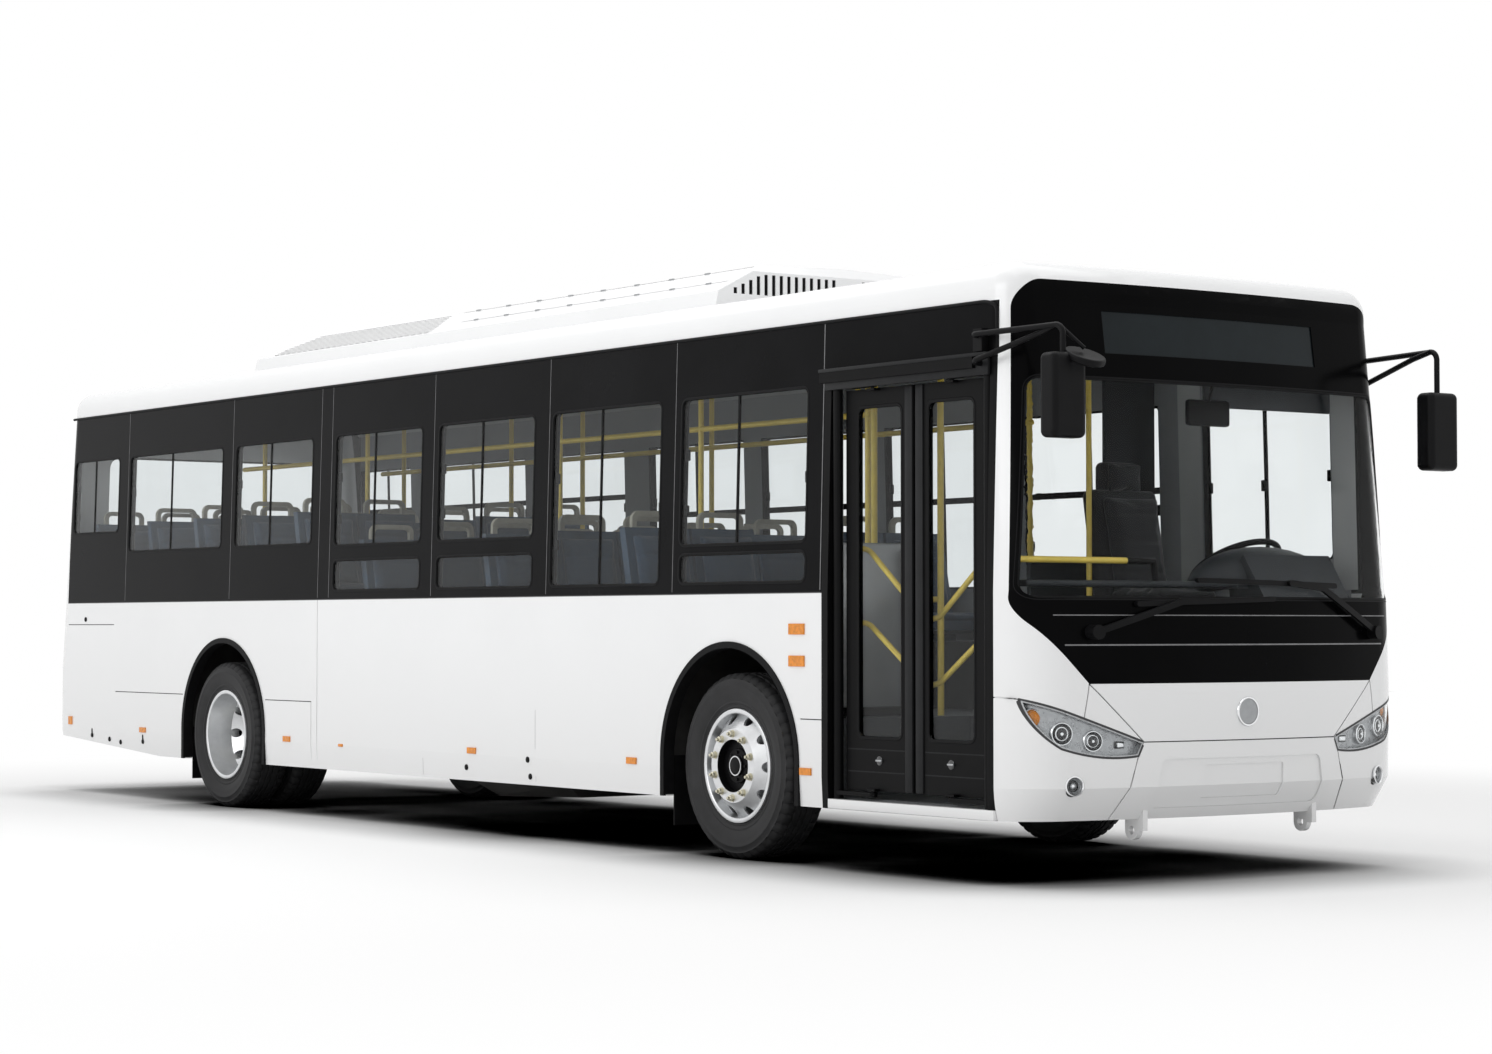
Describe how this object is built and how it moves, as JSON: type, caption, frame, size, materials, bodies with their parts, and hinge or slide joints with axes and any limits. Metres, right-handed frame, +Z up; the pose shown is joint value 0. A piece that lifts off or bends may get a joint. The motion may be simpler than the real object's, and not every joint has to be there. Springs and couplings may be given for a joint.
{
  "type": "city bus",
  "caption": "White single-deck city bus with a black window band, a double-leaf entrance ahead of the steered front wheels, twin rear wheels and a roof air conditioner.",
  "frame": {"origin": "on the ground under the middle of the overall box, mirrors included", "axes": "+X towards the windscreen, +Y to the bus's left, +Z up"},
  "size_m": [11.4843, 2.685, 3.225],
  "materials": {
    "white_paint": "gloss",
    "black_panel": "gloss",
    "tinted_glass": "gloss",
    "black_rubber": "matte",
    "tyre": "matte",
    "steel_dark": "satin",
    "wheel_silver": "satin",
    "cast_iron": "matte",
    "dark_plastic": "matte",
    "yellow_rail": "gloss",
    "amber_lens": "gloss",
    "red_lens": "gloss",
    "blue_seat": "satin",
    "floor_grey": "matte"
  },
  "bodies": {
    "body": {"arch_trims": "black_rubber", "bumper_centre": "white_paint", "bumper_corners": "white_paint", "chassis_frame": "steel_dark", "dashboard": "dark_plastic", "destination_sign": "black_panel", "door_surround": "black_panel", "driver_seat": "dark_plastic", "engine_block": "cast_iron", "entrance_steps": "floor_grey", "floor": "floor_grey", "front_axle": "cast_iron", "front_bonnet": "white_paint", "front_corners": "white_paint", "front_mask": "black_panel", "grab_rails": "yellow_rail", "headlamps": "dark_plastic", "lamp_lenses": "tinted_glass", "mirror_left": "dark_plastic", "mirror_right": "dark_plastic", "mud_flaps": "black_rubber", "passenger_seats": "blue_seat", "rear_axle": "cast_iron", "rear_bumper": "white_paint", "rear_panel": "white_paint", "rear_window": "tinted_glass", "roof_panel": "white_paint", "roof_unit": "white_paint", "side_glass": "tinted_glass", "side_lower_left": "white_paint", "side_lower_right": "white_paint", "side_markers": "amber_lens", "steering_wheel": "dark_plastic", "tail_lamps": "red_lens", "tow_lugs": "steel_dark", "wheel_housings": "dark_plastic", "window_band_left": "black_panel", "window_band_right": "black_panel", "windscreen": "tinted_glass", "wipers": "dark_plastic"},
    "knuckle_right": {"knuckle_right": "cast_iron"},
    "knuckle_left": {"knuckle_left": "cast_iron"},
    "tie_rod": {"tie_rod": "cast_iron"},
    "wheel_front_right": {"front_tyre_right": "tyre", "front_rim_right": "wheel_silver"},
    "wheel_front_left": {"front_tyre_left": "tyre", "front_rim_left": "wheel_silver"},
    "wheels_rear_right": {"rear_tyres_right": "tyre", "rear_rims_right": "wheel_silver"},
    "wheels_rear_left": {"rear_tyres_left": "tyre", "rear_rims_left": "wheel_silver"},
    "door_post_front": {"door_post_front": "dark_plastic"},
    "door_post_rear": {"door_post_rear": "dark_plastic"},
    "door_leaf_front": {"door_leaf_front": "black_panel", "door_glass_front": "tinted_glass", "door_rails_front": "yellow_rail"},
    "door_leaf_rear": {"door_leaf_rear": "black_panel", "door_glass_rear": "tinted_glass", "door_rails_rear": "yellow_rail"},
    "engine_lid": {"engine_lid": "white_paint"}
  },
  "joints": [
    {"name": "steer_right", "type": "hinge", "parent": "body", "child": "knuckle_right", "pos_m": [2.97, -0.89, 0.485], "axis": [0, 0, 1], "range_deg": [-40, 40]},
    {"name": "steer_left", "type": "hinge", "parent": "body", "child": "knuckle_left", "pos_m": [2.97, 0.89, 0.485], "axis": [0, 0, 1], "range_deg": [-40, 40]},
    {"name": "tie_rod_pivot", "type": "hinge", "parent": "knuckle_right", "child": "tie_rod", "pos_m": [2.75, -0.89, 0.353], "axis": [0, 0, 1], "range_deg": [-40, 40]},
    {"name": "spin_front_right", "type": "hinge", "parent": "knuckle_right", "child": "wheel_front_right", "pos_m": [2.97, -1.076, 0.485], "axis": [0, 1, 0], "continuous": true},
    {"name": "spin_front_left", "type": "hinge", "parent": "knuckle_left", "child": "wheel_front_left", "pos_m": [2.97, 1.076, 0.485], "axis": [0, 1, 0], "continuous": true},
    {"name": "spin_rear_right", "type": "hinge", "parent": "body", "child": "wheels_rear_right", "pos_m": [-2.93, -1.108, 0.485], "axis": [0, 1, 0], "continuous": true},
    {"name": "spin_rear_left", "type": "hinge", "parent": "body", "child": "wheels_rear_left", "pos_m": [-2.93, 1.108, 0.485], "axis": [0, 1, 0], "continuous": true},
    {"name": "door_front", "type": "hinge", "parent": "body", "child": "door_post_front", "pos_m": [5.033, -1.204, 1.4], "axis": [0, 0, -1], "range_deg": [0, 88]},
    {"name": "door_front_leaf", "type": "hinge", "parent": "door_post_front", "child": "door_leaf_front", "pos_m": [4.75425, -1.204, 1.4], "axis": [0, 0, 1], "range_deg": [0, 176]},
    {"name": "door_rear", "type": "hinge", "parent": "body", "child": "door_post_rear", "pos_m": [3.862, -1.204, 1.4], "axis": [0, 0, 1], "range_deg": [0, 88]},
    {"name": "door_rear_leaf", "type": "hinge", "parent": "door_post_rear", "child": "door_leaf_rear", "pos_m": [4.14075, -1.204, 1.4], "axis": [0, 0, -1], "range_deg": [0, 176]},
    {"name": "engine_lid", "type": "hinge", "parent": "body", "child": "engine_lid", "pos_m": [-5.69, 0, 1.56], "axis": [0, 1, 0], "range_deg": [0, 75]}
  ],
  "couplings": [
    {"joint": "steer_left", "follows": "steer_right", "ratio": 1},
    {"joint": "tie_rod_pivot", "follows": "steer_right", "ratio": -1},
    {"joint": "door_front_leaf", "follows": "door_front", "ratio": 2},
    {"joint": "door_rear_leaf", "follows": "door_rear", "ratio": 2}
  ]
}
